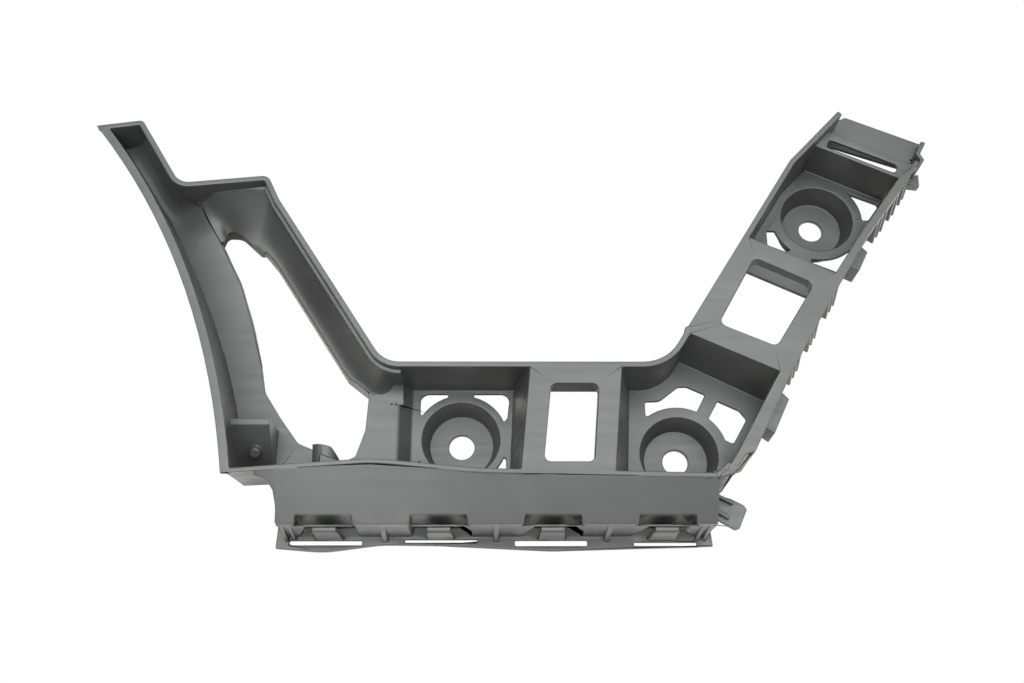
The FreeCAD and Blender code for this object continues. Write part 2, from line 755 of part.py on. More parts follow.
def along(start, end, distance):
    way = Vector(end[0] - start[0], end[1] - start[1], 0).normalize()
    return start[0] + way.x * distance, start[1] + way.y * distance, math.degrees(math.atan2(way.y, way.x))


# Fins of the side wall in groups, each group on its own stretch of the wall
FIN_PITCH = 4.4
fin_groups = [
    ((51.0, 31.4), (72.8, 67.2), 8.0, 3),
    ((51.0, 31.4), (72.8, 67.2), 29.0, 3),
    ((72.8, 67.2), (97.4, 105.6), 9.0, 3),
    ((97.4, 105.6), (120.4, 135.4), 17.0, 3),
    ((97.4, 105.6), (120.4, 135.4), 34.0, 2),
    ((120.4, 135.4), (128.6, 147.2), 8.0, 2),
]
fin_count = 0
for start, end, first, count in fin_groups:
    for i in range(count):
        fin_x, fin_y, angle = along(start, end, first + FIN_PITCH * i)
        solids.append(gusset("side_fin_%d" % fin_count, "side fin %d" % (fin_count + 1), fin_x, fin_y,
                             angle - 90, FLANGE_EDGE, 3.4, low=LEDGE_TOP + 4.0))
        fin_count += 1

# Two hooks on the outside of the side wall
for i, hook in enumerate((
    [(37.0, 8.4), (46.8, 26.8), (51.4, 21.6), (42.6, 4.0)],
    [(88.2, 93.6), (95.6, 105.8), (99.6, 101.2), (94.0, 90.6)],
)):
    solids.append(slab("hook_%d" % i, "side hook %d" % (i + 1), hook, "sizes.flange_edge - 14", "14"))

# End bar with its slot, and the shelf beyond it
bar = [
    (77.0, 163.0),
    (85.3, 171.6),
    (131.4, 149.6),
    (122.2, 141.4),
]
solids.append(slab("bar", "end bar", bar, "sizes.bar_top - sizes.skin", "sizes.skin"))
bar_front = [(77.0, 163.0), (122.2, 141.4)]
solids.append(slab("bar_wall", "end bar wall", band(bar_front[::-1], FRONT_WALL),
                   "sizes.pocket_level - sizes.skin", "sizes.bar_top - sizes.pocket_level + sizes.skin - 0.4"))
slot_hole = [
    (84.3, 161.6, 1.8),
    (86.6, 166.2, 1.8),
    (121.0, 150.2, 2.2),
    (118.6, 145.6, 2.2),
]
cutters.append(slab("bar_slot", "bar slot", slot_hole, "sizes.bar_top - sizes.skin - 1", "sizes.skin + 2"))
shelf = [
    (84.0, 167.6),
    (92.2, 181.2),
    (98.8, 184.2),
    (137.0, 167.2),
    (129.6, 150.4),
]
solids.append(slab("end_shelf", "end shelf", shelf, "sizes.end_shelf - sizes.skin", "sizes.skin"))
end_rib = [
    (130.6, 149.9),
    (132.4, 149.6),
    (135.4, 154.2),
    (133.7, 157.8),
    (137.6, 164.6),
    (135.2, 165.6),
    (131.4, 158.0),
    (133.2, 154.4),
]
solids.append(slab("end_rib", "end rib", end_rib, "sizes.arm_level",
                   "sizes.bar_top - sizes.arm_level - 0.5"))
# A small blind pocket beside the rib, and the catch below it
end_pocket = [(129.2, 151.6), (130.2, 157.6), (131.4, 158.0), (133.2, 154.4), (131.2, 151.2)]
cutters.append(slab("end_pocket", "end pocket", end_pocket, "sizes.arm_level + 2", "20"))
solids.append(slab("pocket_seat", "pocket seat", [(127.4, 149.0), (129.4, 160.0), (133.6, 158.6), (135.2, 154.2),
                                                 (131.8, 149.4)], "sizes.arm_level", "2"))
catch = [
    (126.8, 146.4),
    (131.4, 151.6),
    (136.4, 152.8),
    (135.8, 145.2),
    (133.6, 145.6),
]
solids.append(slab("catch", "side catch", catch, "sizes.arm_level - 2", "5"))

# Tab at the right end of the flange: a small plate on two ribs
tab = [
    (21.6, -24.6),
    (27.4, -27.6),
    (28.8, -29.8),
    (24.6, -38.8),
    (22.4, -39.6),
    (16.8, -36.2),
    (11.4, -33.0),
    (11.4, -21.5),
]
solids.append(slab("tab", "side tab", tab, "23", "2.2"))
for i, (rib_a, rib_b) in enumerate((((11.4, -21.0), (22.4, -26.6)), ((11.4, -28.4), (20.0, -33.6)))):
    solids.append(slab("tab_rib_%d" % i, "tab rib %d" % (i + 1), band([rib_a, rib_b], RIB_WALL), "23", "5"))

# Wedge-shaped box in the lower corner of the trough, with a round boss on it
wedge = [
    (-9.0, TROUGH_LEVEL - 1.0),
    (-7.5, TROUGH_LEVEL + 3.0),
    (10.6, 31.0, 1.5),
    (13.6, 31.0),
    (15.0, TROUGH_LEVEL - 1.0),
]
solids.append(profile("corner_box", "corner box", wedge, "YZ_Plane", -217.5, 19.6))
boss = doc.addObject("Part::Cylinder", "corner_boss")
boss.Label = "corner boss"
boss.Radius = 2.6
boss.Height = 12.0
boss.Placement = Placement(Vector(-205.4, 5.6, TROUGH_LEVEL + 6.0), Rotation(Vector(1, 0, 0), 38))
solids.append(boss)

# Rolled ramp where the trough meets the arm floor
ramp_start = Vector(-172.4, 4.8, 16.5)
ramp_end = Vector(-171.6, -14.0, 16.5)
ramp = doc.addObject("Part::Cylinder", "lower_ramp")
ramp.Label = "lower ramp"
ramp.Radius = 6.6
ramp.Height = (ramp_end - ramp_start).Length
ramp.Placement = Placement(ramp_start, Rotation(Vector(0, 0, 1), ramp_end - ramp_start))
solids.append(ramp)

# The trough floor climbs in a curve to the wall at the shoulder, more on its window side
TROUGH_UNDER = TROUGH_LEVEL - SKIN
# Places along Y; at each the left end, middle and right end of the floor and how far they rise
CLIMB = [
    (98.0, (-246.0, 0.0), (-237.0, 0.0), (-227.5, 0.0)),
    (108.0, (-250.6, 0.0), (-241.0, 0.1), (-231.5, 0.6)),
    (114.0, (-253.6, 0.0), (-244.0, 0.4), (-234.6, 1.8)),
    (119.3, (-256.4, 0.0), (-247.0, 1.0), (-237.0, 3.8)),
    (125.0, (-259.4, 0.2), (-250.0, 2.8), (-240.9, 8.9)),
    (129.3, (-261.7, 0.4), (-253.0, 6.0), (-243.6, 15.6)),
    (131.5, (-262.9, 0.6), (-255.0, 8.0), (-245.2, 24.4)),
    (134.0, (-264.3, 0.6), (-257.5, 10.0), (-252.5, 26.0)),
    (139.0, (-267.0, 0.5), (-261.0, 8.0), (-256.0, 24.0)),
    (146.0, (-271.3, 0.4), (-265.5, 6.0), (-260.4, 20.0)),
    (154.0, (-276.2, 0.2), (-270.5, 3.0), (-265.4, 12.0)),
    (162.0, (-281.0, 0.0), (-276.0, 0.0), (-270.5, 0.0)),
]


def raised(places, level):
    """Section of a floor that rises: its upper points, closed along the trough's underside."""
    return [(places[0][0], TROUGH_UNDER)] + [(x, level + rise) for x, rise in places] + [
        (places[-1][0], TROUGH_UNDER)]


solids.append(stations("shoulder_climb", "shoulder climb", [
    (row[0], raised(row[1:], TROUGH_LEVEL - 0.2)) for row in CLIMB
], "XZ", True))

# Shoulder: right of a small step the floor rolls up to the arm floor and to the wall
ROLL = [
    (113.0, (-234.4, 3.0), (-230.5, 3.4), (-222.0, 7.5), (-214.6, 12.6), (-206.0, 14.0)),
    (119.3, (-237.4, 5.0), (-233.4, 5.2), (-225.0, 9.0), (-218.4, 13.4), (-206.0, 15.0)),
    (125.0, (-241.3, 10.0), (-237.0, 9.6), (-229.0, 11.0), (-221.7, 13.8), (-206.0, 16.0)),
    (129.3, (-244.0, 16.6), (-239.6, 16.0), (-231.0, 16.2), (-223.5, 17.0), (-206.0, 18.5)),
    (131.6, (-245.6, 25.4), (-241.0, 24.5), (-232.0, 22.5), (-225.0, 21.5), (-206.0, 21.0)),
    (134.0, (-246.0, 28.0), (-242.0, 28.0), (-233.0, 27.0), (-226.0, 26.0), (-206.0, 25.0)),
    (136.5, (-223.5, 29.0), (-220.0, 29.0), (-215.0, 29.0), (-210.0, 29.0), (-206.0, 29.0)),
]
solids.append(stations("shoulder_roll", "shoulder roll", [
    (row[0], raised(row[1:], TROUGH_LEVEL)) for row in ROLL
], "XZ", True))

# Concave gutter between the rim wall and the arm floor, round to the saddle
gutter_path = beside(base_path[:3] + [(-134.6, WALL_Y)], RIM_WALL - 0.3)
gutter_spine = doc.addObject("Sketcher::SketchObject", "gutter_spine")
gutter_spine.addGeometry(rounded(gutter_path[1:], closed=False), False)
gutter_spine.setExpression("Placement.Base.z", "sizes.arm_level")
start_point = Vector(gutter_path[1][0], gutter_path[1][1], 0)
next_point = Vector(gutter_path[2][0], gutter_path[2][1], 0)
way = (next_point - start_point).normalize()
GUTTER = 11.0
gutter_section = doc.addObject("Sketcher::SketchObject", "gutter_section")
gutter_section.addGeometry([
    Part.LineSegment(Vector(0, -1, 0), Vector(0, GUTTER, 0)),
    Part.Arc(Vector(0, GUTTER, 0), Vector(GUTTER * (1 - math.sqrt(0.5)), GUTTER * (1 - math.sqrt(0.5)), 0),
             Vector(GUTTER, 0, 0)),
    Part.LineSegment(Vector(GUTTER, 0, 0), Vector(GUTTER, -1, 0)),
    Part.LineSegment(Vector(GUTTER, -1, 0), Vector(0, -1, 0)),
], False)
inward = Vector(way.y, -way.x, 0)
heading = math.degrees(math.atan2(inward.y, inward.x))
gutter_section.Placement = Placement(Vector(start_point.x, start_point.y, ARM_LEVEL),
                                     Rotation(Vector(0, 0, 1), heading) * Rotation(Vector(1, 0, 0), 90))
gutter = doc.addObject("Part::Sweep", "gutter")
gutter.Label = "arm gutter"
gutter.Sections = [gutter_section]
gutter.Spine = (gutter_spine, [])
gutter.Solid = True
gutter.Transition = "Round corner"
solids.append(gutter)

# Big window between the arms
big_window = [
    (-235.8, 117.2, 1.5),
    (-233.6, 123.9, 3.0),
    (-226.0, 123.6, 8.0),
    (-212.3, 110.6, 3.0),
    (-203.1, 100.1, 3.0),
    (-163.8, 38.6, 6.0),
    (-151.8, 29.0, 6.0),
    (-152.8, 10.0, 5.0),
    (-157.0, -3.5, 3.0),
    (-163.0, -6.0, 2.0),
    (-169.0, 2.2, 3.0),
    (-178.0, 4.2, 3.0),
    (-187.9, 8.4, 5.0),
    (-197.9, 22.1, 8.0),
    (-206.5, 35.5, 8.0),
    (-209.1, 48.6),
    (-216.4, 72.6),
    (-224.7, 95.7),
]
window_cutter = slab("big_window", "big window", big_window, "-10", "44")

doc.recompute()
for item in solids + cutters + [window_cutter]:
    if "Invalid" in item.State or "Error" in item.State or item.Shape.isNull() or not item.Shape.isValid():
        raise RuntimeError("bad shape: " + item.Label)



joined = doc.addObject("Part::Feature", "joined")
joined.Label = "joined pieces"
joined.Shape = solids[0].Shape.fuse([item.Shape for item in solids[1:]])
openings_all = doc.addObject("Part::MultiFuse", "openings_all")
openings_all.Shapes = cutters
openings_all.Refine = False
opened = doc.addObject("Part::Cut", "opened")
opened.Base = joined
opened.Tool = openings_all
opened.Refine = False
bracket = doc.addObject("Part::Cut", "bumper_bracket")
bracket.Label = "bumper_bracket"
bracket.Base = opened
bracket.Tool = window_cutter
bracket.Refine = True
doc.recompute()
for item in (joined, openings_all, opened, bracket):
    if "Invalid" in item.State or "Error" in item.State or item.Shape.isNull() or not item.Shape.isValid():
        raise RuntimeError("bad shape: " + item.Label)
for item in (joined, openings_all, opened, bracket):
    print(item.Name, len(item.Shape.Solids), round(item.Shape.Volume))
for piece in bracket.Shape.Solids:
    print("solid", round(piece.Volume), piece.BoundBox)
bracket.Shape.exportStep("parts/bumper_bracket.step")
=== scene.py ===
"""Bumper mounting bracket: a charcoal plastic moulding on a white table, seen from above its clip row."""

import logging
import math
from dataclasses import dataclass, field
from typing import List, Sequence, Tuple

import bmesh
import bpy
import numpy as np
from mathutils import Matrix, Vector
from mathutils.bvhtree import BVHTree


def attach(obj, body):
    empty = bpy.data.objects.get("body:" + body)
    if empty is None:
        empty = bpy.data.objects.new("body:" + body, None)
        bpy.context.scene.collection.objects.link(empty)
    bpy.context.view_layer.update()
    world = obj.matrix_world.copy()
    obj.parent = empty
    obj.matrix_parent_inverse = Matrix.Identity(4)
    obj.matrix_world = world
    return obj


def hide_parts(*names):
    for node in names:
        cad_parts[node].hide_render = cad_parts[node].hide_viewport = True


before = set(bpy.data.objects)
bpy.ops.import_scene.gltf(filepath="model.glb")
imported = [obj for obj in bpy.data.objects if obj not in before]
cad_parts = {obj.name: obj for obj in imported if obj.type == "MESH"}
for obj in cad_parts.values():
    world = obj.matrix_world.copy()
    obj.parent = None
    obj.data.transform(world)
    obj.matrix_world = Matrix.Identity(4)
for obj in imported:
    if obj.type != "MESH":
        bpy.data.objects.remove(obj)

LOG = logging.getLogger("bracket")
NODE = "bumper_bracket"
MM = 0.001
SEAM = 1e-6
Color = Tuple[float, float, float]
COOL: Color = (0.96, 0.99, 1.0)
WARM: Color = (1.0, 0.99, 0.97)
SENSOR_WIDTH = 36.0


@dataclass(frozen=True)
class Grain:
    """Fine relief of a moulded face.

    Attributes:
        scale: Repeats per metre of the finest noise.
        depth: Height of the grain in metres.
        strength: Weight of the grain's bump.
    """

    scale: float
    depth: float
    strength: float


@dataclass(frozen=True)
class Finish:
    """One plastic finish.

    Attributes:
        name: Material name.
        base: Base colour, linear.
        faded: Colour of dusty or rubbed faces, linear.
        rough: Lowest roughness.
        rough_span: How far the roughness wanders above the lowest.
        grain: Relief of the face.
        dust: Weight of the broad dusty clouds.
        rub: Weight of the smaller rubbed patches.
        fine_rough: Share of the grain in the roughness.
        flow_relief: Share of the flow marks in the relief.
        ripple: Weight of the broad unevenness.
        ripple_depth: Height of the broad unevenness in metres.
        sheen: Strength of the mirror-like share.
    """

    name: str
    base: Color
    faded: Color
    rough: float
    rough_span: float
    grain: Grain
    dust: float = 0.55
    rub: float = 0.35
    fine_rough: float = 0.06
    flow_relief: float = 0.6
    ripple: float = 0.35
    ripple_depth: float = 0.0004
    sheen: float = 0.62


MOULDED = Finish("moulded_plastic", (0.033, 0.0330, 0.0315), (0.060, 0.061, 0.059), 0.34, 0.14,
                 Grain(2600.0, 0.00003, 0.22))


class Nodes:
    """Small helper that adds and links shader nodes."""

    def __init__(self, material: bpy.types.Material) -> None:
        """Args:
            material: Material whose tree is filled.
        """
        material.use_nodes = True
        self.tree = material.node_tree
        self.tree.nodes.clear()

    def add(self, kind: str, **settings: object) -> bpy.types.Node:
        """Add a node.

        Args:
            kind: Node type name.
            **settings: Attributes, or socket values where the name is a socket's.

        Returns:
            The new node.
        """
        node = self.tree.nodes.new(kind)
        for key, value in settings.items():
            if hasattr(node, key):
                setattr(node, key, value)
            else:
                node.inputs[key.replace("_", " ")].default_value = value
        return node

    def link(self, source: bpy.types.NodeSocket, target: bpy.types.NodeSocket) -> None:
        """Link two sockets.

        Args:
            source: Output socket.
            target: Input socket.
        """
        self.tree.links.new(source, target)

    def math(self, operation: str, first: object, second: object = 0.0) -> bpy.types.NodeSocket:
        """Add a Math node.

        Args:
            operation: Operation name.
            first: Socket or number.
            second: Socket or number.

        Returns:
            The result socket.
        """
        node = self.tree.nodes.new("ShaderNodeMath")
        node.operation = operation
        for i, value in enumerate((first, second)):
            if isinstance(value, bpy.types.NodeSocket):
                self.link(value, node.inputs[i])
            else:
                node.inputs[i].default_value = float(value)
        return node.outputs[0]

    def noise(self, coords: bpy.types.NodeSocket, scale: float, detail: float = 4.0,
              distortion: float = 0.0) -> bpy.types.NodeSocket:
        """Add a Noise texture on some coordinates.

        Args:
            coords: Vector socket.
            scale: Noise scale.
            detail: Octaves.
            distortion: Warp of the noise.

        Returns:
            The factor socket.
        """
        node = self.add("ShaderNodeTexNoise")
        node.inputs["Scale"].default_value = scale
        node.inputs["Detail"].default_value = detail
        node.inputs["Distortion"].default_value = distortion
        self.link(coords, node.inputs["Vector"])
        return node.outputs["Fac"]

    def ramp(self, value: bpy.types.NodeSocket, low: float, high: float) -> bpy.types.NodeSocket:
        """Spread a value between two limits over 0 to 1, clamped.

        Args:
            value: Socket to spread.
            low: Value that becomes 0.
            high: Value that becomes 1.

        Returns:
            The spread socket.
        """
        node = self.add("ShaderNodeMapRange")
        node.inputs["From Min"].default_value = low
        node.inputs["From Max"].default_value = high
        self.link(value, node.inputs["Value"])
        return node.outputs["Result"]


def moulded_material(finish: Finish) -> bpy.types.Material:
    """Build the plastic: soft sheen, fine grain, faint flow marks and scuffs.

    Args:
        finish: Values of the finish.

    Returns:
        The material.
    """
    material = bpy.data.materials.new(finish.name)
    nodes = Nodes(material)
    coords = nodes.add("ShaderNodeTexCoord").outputs["Object"]
    broad = nodes.noise(coords, 14.0, 5.0, 0.4)
    cloudy = nodes.noise(coords, 60.0, 6.0, 0.2)
    fine = nodes.noise(coords, finish.grain.scale, 2.0)
    flow = nodes.add("ShaderNodeMapping")
    flow.inputs["Scale"].default_value = (6.0, 90.0, 40.0)
    flow.inputs["Rotation"].default_value = (0.0, 0.0, 0.35)
    nodes.link(coords, flow.inputs["Vector"])
    streak = nodes.noise(flow.outputs["Vector"], 3.0, 6.0, 0.1)
    dusty = nodes.math("MULTIPLY", nodes.ramp(broad, 0.42, 0.75), finish.dust)
    rubbed = nodes.math("MULTIPLY", nodes.ramp(cloudy, 0.55, 0.8), finish.rub)
    amount = nodes.math("ADD", dusty, rubbed)
    shade = nodes.add("ShaderNodeMix", data_type="RGBA")
    shade.inputs["A"].default_value = (*finish.base, 1.0)
    shade.inputs["B"].default_value = (*finish.faded, 1.0)
    nodes.link(amount, shade.inputs["Factor"])
    wander = nodes.math("MULTIPLY", nodes.ramp(streak, 0.3, 0.75), finish.rough_span)
    lowest = nodes.math("ADD", nodes.math("MULTIPLY", fine, finish.fine_rough), finish.rough)
    rough = nodes.math("ADD", wander, lowest)
    relief = nodes.math("ADD", fine, nodes.math("MULTIPLY", streak, finish.flow_relief))
    bump = nodes.add("ShaderNodeBump")
    bump.inputs["Strength"].default_value = finish.grain.strength
    bump.inputs["Distance"].default_value = finish.grain.depth
    nodes.link(relief, bump.inputs["Height"])
    ripple = nodes.add("ShaderNodeBump")
    ripple.inputs["Strength"].default_value = finish.ripple
    ripple.inputs["Distance"].default_value = finish.ripple_depth
    nodes.link(nodes.noise(coords, 38.0, 2.0, 0.3), ripple.inputs["Height"])
    nodes.link(bump.outputs["Normal"], ripple.inputs["Normal"])
    shader = nodes.add("ShaderNodeBsdfPrincipled")
    nodes.link(shade.outputs["Result"], shader.inputs["Base Color"])
    nodes.link(rough, shader.inputs["Roughness"])
    nodes.link(ripple.outputs["Normal"], shader.inputs["Normal"])
    shader.inputs["Specular IOR Level"].default_value = finish.sheen
    shader.inputs["IOR"].default_value = 1.5
    output = nodes.add("ShaderNodeOutputMaterial")
    nodes.link(shader.outputs["BSDF"], output.inputs["Surface"])
    return material


@dataclass
class Moulding:
    """The bracket's visible skin: the CAD shape with its sharp edges eased.

    Attributes:
        finish: Plastic it is moulded in.
        ease: Width of the eased edges, in metres.
        crease: Edges sharper than this angle are eased, in degrees.
        stray: A corner that leaves the moulded shape by more than this is put back on it, in metres.
        weld: Corners nearer than this become one, in metres.
        speck: Edges shorter than this are closed up, in metres.
    """

    finish: bpy.types.Material
    ease: float = 0.0005
    crease: float = 24.0
    stray: float = 0.0004
    weld: float = 0.00002
    speck: float = 0.000001

    def ease_edges(self, work: bmesh.types.BMesh) -> int:
        """Round the sharp edges and put corners that ran off back on the moulded shape.

        Args:
            work: Merged mesh, changed in place.

        Returns:
            How many corners were put back.
        """
        shape = BVHTree.FromBMesh(work)
        limit = math.radians(self.crease)
        sharp = [edge for edge in work.edges if edge.is_manifold and edge.calc_face_angle(0.0) > limit]
        bmesh.ops.bevel(work, geom=sharp, offset=self.ease, offset_type="OFFSET", segments=2, profile=0.5,
                        affect="EDGES", clamp_overlap=False, loop_slide=False, miter_outer="ARC",
                        spread=self.ease / 2.0)
        moved = 0
        for corner in work.verts:
            place, _, _, distance = shape.find_nearest(corner.co)
            if distance > self.stray:
                corner.co = place
                moved += 1
        bmesh.ops.dissolve_degenerate(work, edges=work.edges, dist=self.speck)
        return moved

    def build(self) -> bpy.types.Object:
        """Copy the CAD mesh, merge it, and ease its edges.

        Returns:
            The finished piece.
        """
        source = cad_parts[NODE]
        mesh = source.data.copy()
        mesh.name = "moulding"
        piece = bpy.data.objects.new("moulding", mesh)
        bpy.context.scene.collection.objects.link(piece)
        work = bmesh.new()
        work.from_mesh(mesh)
        bmesh.ops.remove_doubles(work, verts=work.verts, dist=self.weld)
        moved = self.ease_edges(work)
        for face in work.faces:
            face.smooth = True
        work.to_mesh(mesh)
        work.free()
        mesh.materials.clear()
        mesh.materials.append(self.finish)
        weighted = piece.modifiers.new("even_shading", "WEIGHTED_NORMAL")
        weighted.keep_sharp = True
        weighted.weight = 60
        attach(piece, "root")
        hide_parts(NODE)
        LOG.info("moulding has %d faces, %d corners put back", len(mesh.polygons), moved)
        return piece


def flowing(points: np.ndarray, steps: int) -> np.ndarray:
    """Carry rows of points along a smooth path through every row.

    Between two rows it is the cubic whose slope at each row is half the way between that row's neighbours.

    Args:
        points: Array whose first axis runs along the path.
        steps: Pieces between two rows.

    Returns:
        The finer array, with the same other axes.
    """
    held = np.concatenate([2.0 * points[:1] - points[1:2], points, 2.0 * points[-1:] - points[-2:-1]])
    before, here, ahead, after = held[:-3, None], held[1:-2, None], held[2:-1, None], held[3:, None]
    t = (np.arange(steps) / steps).reshape((1, steps) + (1,) * (points.ndim - 1))
    curve = 0.5 * (2.0 * here + (ahead - before) * t
                   + (2.0 * before - 5.0 * here + 4.0 * ahead - after) * t ** 2
                   + (3.0 * here - before - 3.0 * ahead + after) * t ** 3)
    return np.concatenate([curve.reshape((-1,) + points.shape[1:]), points[-1:]])


def grid_faces(rows: int, columns: int, start: int) -> np.ndarray:
    """Number the corners of the four-sided faces of a grid of points, row after row.

    Args:
        rows: Points along the first axis.
        columns: Points along the second axis.
        start: Number of the grid's first point.

    Returns:
        One row of four corner numbers for each face.
    """
    corner = np.arange(rows * columns).reshape(rows, columns) + start
    quads = np.stack([corner[:-1, :-1], corner[:-1, 1:], corner[1:, 1:], corner[1:, :-1]], axis=-1)
    return quads.reshape(-1, 4)


def sheet(name: str, grids: Sequence[np.ndarray], thickness: float, crease: float = 38.0) -> bpy.types.Object:
    """Join grids of points in millimetres into one walled piece whose faces look up.

    Args:
        name: Name of the piece.
        grids: Arrays of rows, columns and three coordinates.
        thickness: Wall below the surface, in metres.
        crease: Edges sharper than this stay crisp, in degrees.

    Returns:
        The piece, not yet placed on a body.
    """
    faces: List[np.ndarray] = []
    start = 0
    for grid in grids:
        rows, columns, _ = grid.shape
        quads = grid_faces(rows, columns, start)
        flat = grid.reshape(-1, 3)
        corners = flat[quads - start]
        normal = np.cross(corners[:, 2] - corners[:, 0], corners[:, 3] - corners[:, 1])
        faces.append(quads if normal[:, 2].sum() >= 0 else quads[:, ::-1])
        start += rows * columns
    points = np.concatenate([grid.reshape(-1, 3) for grid in grids]) * MM
    mesh = bpy.data.meshes.new(name)
    mesh.from_pydata(points.tolist(), [], np.concatenate(faces).tolist())
    work = bmesh.new()
    work.from_mesh(mesh)
    bmesh.ops.remove_doubles(work, verts=work.verts, dist=SEAM)
    work.to_mesh(mesh)
    work.free()
    mesh.shade_smooth()
    mesh.set_sharp_from_angle(angle=math.radians(crease))
    piece = bpy.data.objects.new(name, mesh)
    bpy.context.scene.collection.objects.link(piece)
    wall = piece.modifiers.new("wall", "SOLIDIFY")
    wall.thickness = thickness
    wall.offset = -1.0
    wall.use_even_offset = False
    return piece


def into_wall(edge: np.ndarray, reach: float) -> np.ndarray:
    """Run an edge into the wall on its left: each point moves square to the edge's way, seen from above.

    Args:
        edge: Points of the edge, in millimetres.
        reach: How far it goes in, in millimetres.

    Returns:
        The moved points.
    """
    way = np.gradient(edge[:, :2], axis=0)
    square = np.stack([-way[:, 1], way[:, 0]], axis=1) / np.linalg.norm(way, axis=1, keepdims=True)
    moved = edge.copy()
    moved[:, :2] += reach * square
    return moved


@dataclass
class FlowingFloors:
    """The smooth floors of the wheel arch arm: the rising trough, the bowl at the shoulder and the gutter.

    Attributes:
        finish: Plastic they are moulded in.
        trough: Rows of left foot, right edge and the heights one third and two thirds across.
        flank: Foot of the trough's edge beside the window, one point for each of the first rows.
        bowl: Rows of the upper edge at the wall, the pull point and the lower edge at the window.
        bowl_foot: Foot of the lower edge for the first rows.
        reach: How far the edges run into the walls beside them, in millimetres.
        step_drop: How far the bowl's first row is carried down to the trough floor, in millimetres.
        steps: Pieces between two rows.
        across: Points from the bowl's upper edge to its lower one.
        wall: Thickness below the surface, in metres.
    """

    finish: bpy.types.Material
    trough: Sequence[Tuple[float, ...]] = (
        (-225.7, 45.3, 7.4, -209.9, 48.8, 7.4, 7.4, 7.4),
        (-229.1, 55.0, 8.2, -213.2, 60.9, 8.3, 8.2, 8.25),
        (-232.5, 65.2, 9.1, -216.1, 71.8, 9.6, 9.2, 9.4),
        (-236.9, 76.4, 10.5, -219.4, 82.0, 11.6, 10.8, 11.2),
        (-240.5, 85.4, 12.2, -223.0, 92.6, 14.0, 12.7, 13.3),
        (-244.7, 95.3, 14.5, -227.7, 101.7, 16.9, 15.2, 16.0),
        (-248.7, 103.1, 16.5, -232.3, 110.7, 19.8, 17.4, 18.5),
        (-251.5, 109.4, 17.9, -235.9, 117.6, 21.8, 19.0, 20.3),
        (-254.6, 115.3, 19.3, -238.6, 121.6, 24.2, 20.4, 22.0),
        (-257.8, 121.5, 20.5, -241.5, 126.1, 26.8, 21.6, 23.8),
        (-260.6, 126.8, 21.6, -244.3, 131.6, 30.5, 22.6, 25.5),
        (-263.5, 131.6, 22.4, -251.0, 134.0, 34.0, 23.0, 26.0),
        (-268.2, 138.6, 23.5, -256.8, 140.5, 36.0, 24.0, 26.8),
        (-274.2, 148.1, 25.0, -262.3, 149.5, 36.0, 25.4, 28.0),
        (-281.9, 159.3, 26.5, -269.4, 161.0, 37.0, 27.0, 29.5),
        (-288.5, 168.9, 28.0, -274.5, 170.0, 38.0, 28.5, 31.0),
    )
    flank: Sequence[Tuple[float, float, float]] = (
        (-209.9, 48.8, 7.2), (-213.2, 61.1, 7.2), (-216.4, 72.6, 7.3), (-220.4, 83.8, 7.4),
        (-224.7, 95.7, 7.4), (-230.2, 106.4, 7.6), (-235.6, 117.0, 9.0), (-238.6, 121.0, 12.0),
        (-240.0, 123.6, 14.0), (-242.0, 127.2, 18.0), (-244.4, 132.0, 24.0),
    )
    bowl: Sequence[Tuple[float, ...]] = (
        (-243.9, 131.6, 32.0, -238.4, 121.8, 26.2, -232.9, 113.4, 21.7),
        (-240.2, 131.9, 35.5, -235.6, 125.0, 27.5, -231.8, 116.2, 21.8),
        (-235.5, 132.3, 41.0, -232.0, 126.0, 27.5, -230.9, 119.1, 22.0),
        (-229.0, 133.0, 42.4, -228.6, 125.5, 28.0, -227.6, 120.4, 22.2),
        (-221.0, 133.9, 42.8, -222.5, 124.5, 28.0, -223.7, 118.6, 22.4),
        (-213.0, 134.6, 42.8, -216.5, 122.8, 27.0, -220.3, 116.1, 22.7),
        (-206.8, 134.0, 42.6, -211.0, 119.6, 26.0, -216.2, 112.0, 23.2),
        (-204.2, 127.5, 42.6, -208.0, 116.0, 25.2, -213.4, 110.6, 23.6),
        (-201.6, 119.9, 42.6, -204.6, 111.5, 24.6, -208.8, 106.4, 24.1),
        (-193.1, 106.4, 42.6, -198.6, 102.9, 24.3, -203.1, 100.1, 24.15),
        (-183.3, 91.0, 42.6, -188.8, 87.5, 24.3, -193.3, 84.7, 24.15),
        (-173.5, 75.7, 42.6, -179.0, 72.2, 24.3, -183.5, 69.4, 24.15),
        (-163.6, 60.3, 42.6, -169.1, 56.8, 24.3, -173.6, 54.0, 24.15),
        (-154.0, 44.8, 42.6, -159.4, 41.4, 24.3, -163.7, 38.6, 24.15),
        (-149.5, 38.6, 42.6, -153.5, 35.5, 24.3, -157.8, 33.8, 24.15),
        (-143.5, 33.4, 42.6, -147.2, 30.0, 24.3, -151.7, 29.2, 24.15),
        (-139.5, 32.2, 37.0, -140.6, 30.8, 23.6, -144.5, 26.0, 23.7),
        (-137.0, 33.0, 28.0, -138.0, 32.4, 23.0, -141.0, 29.4, 23.2),
    )
    bowl_foot: Sequence[Tuple[float, float, float]] = (
        (-235.4, 117.2, 14.0), (-234.9, 120.5, 15.0), (-233.0, 123.2, 16.0), (-229.5, 124.0, 16.5),
        (-225.5, 123.0, 17.0), (-221.5, 119.8, 18.5), (-216.4, 114.9, 20.5), (-213.1, 111.9, 21.5),
        (-208.7, 106.8, 22.0),
    )
    reach: float = 1.4
    step_drop: Tuple[float, float, float] = (0.5, 0.3, 2.6)
    steps: int = 6
    across: int = 13
    wall: float = 0.0010

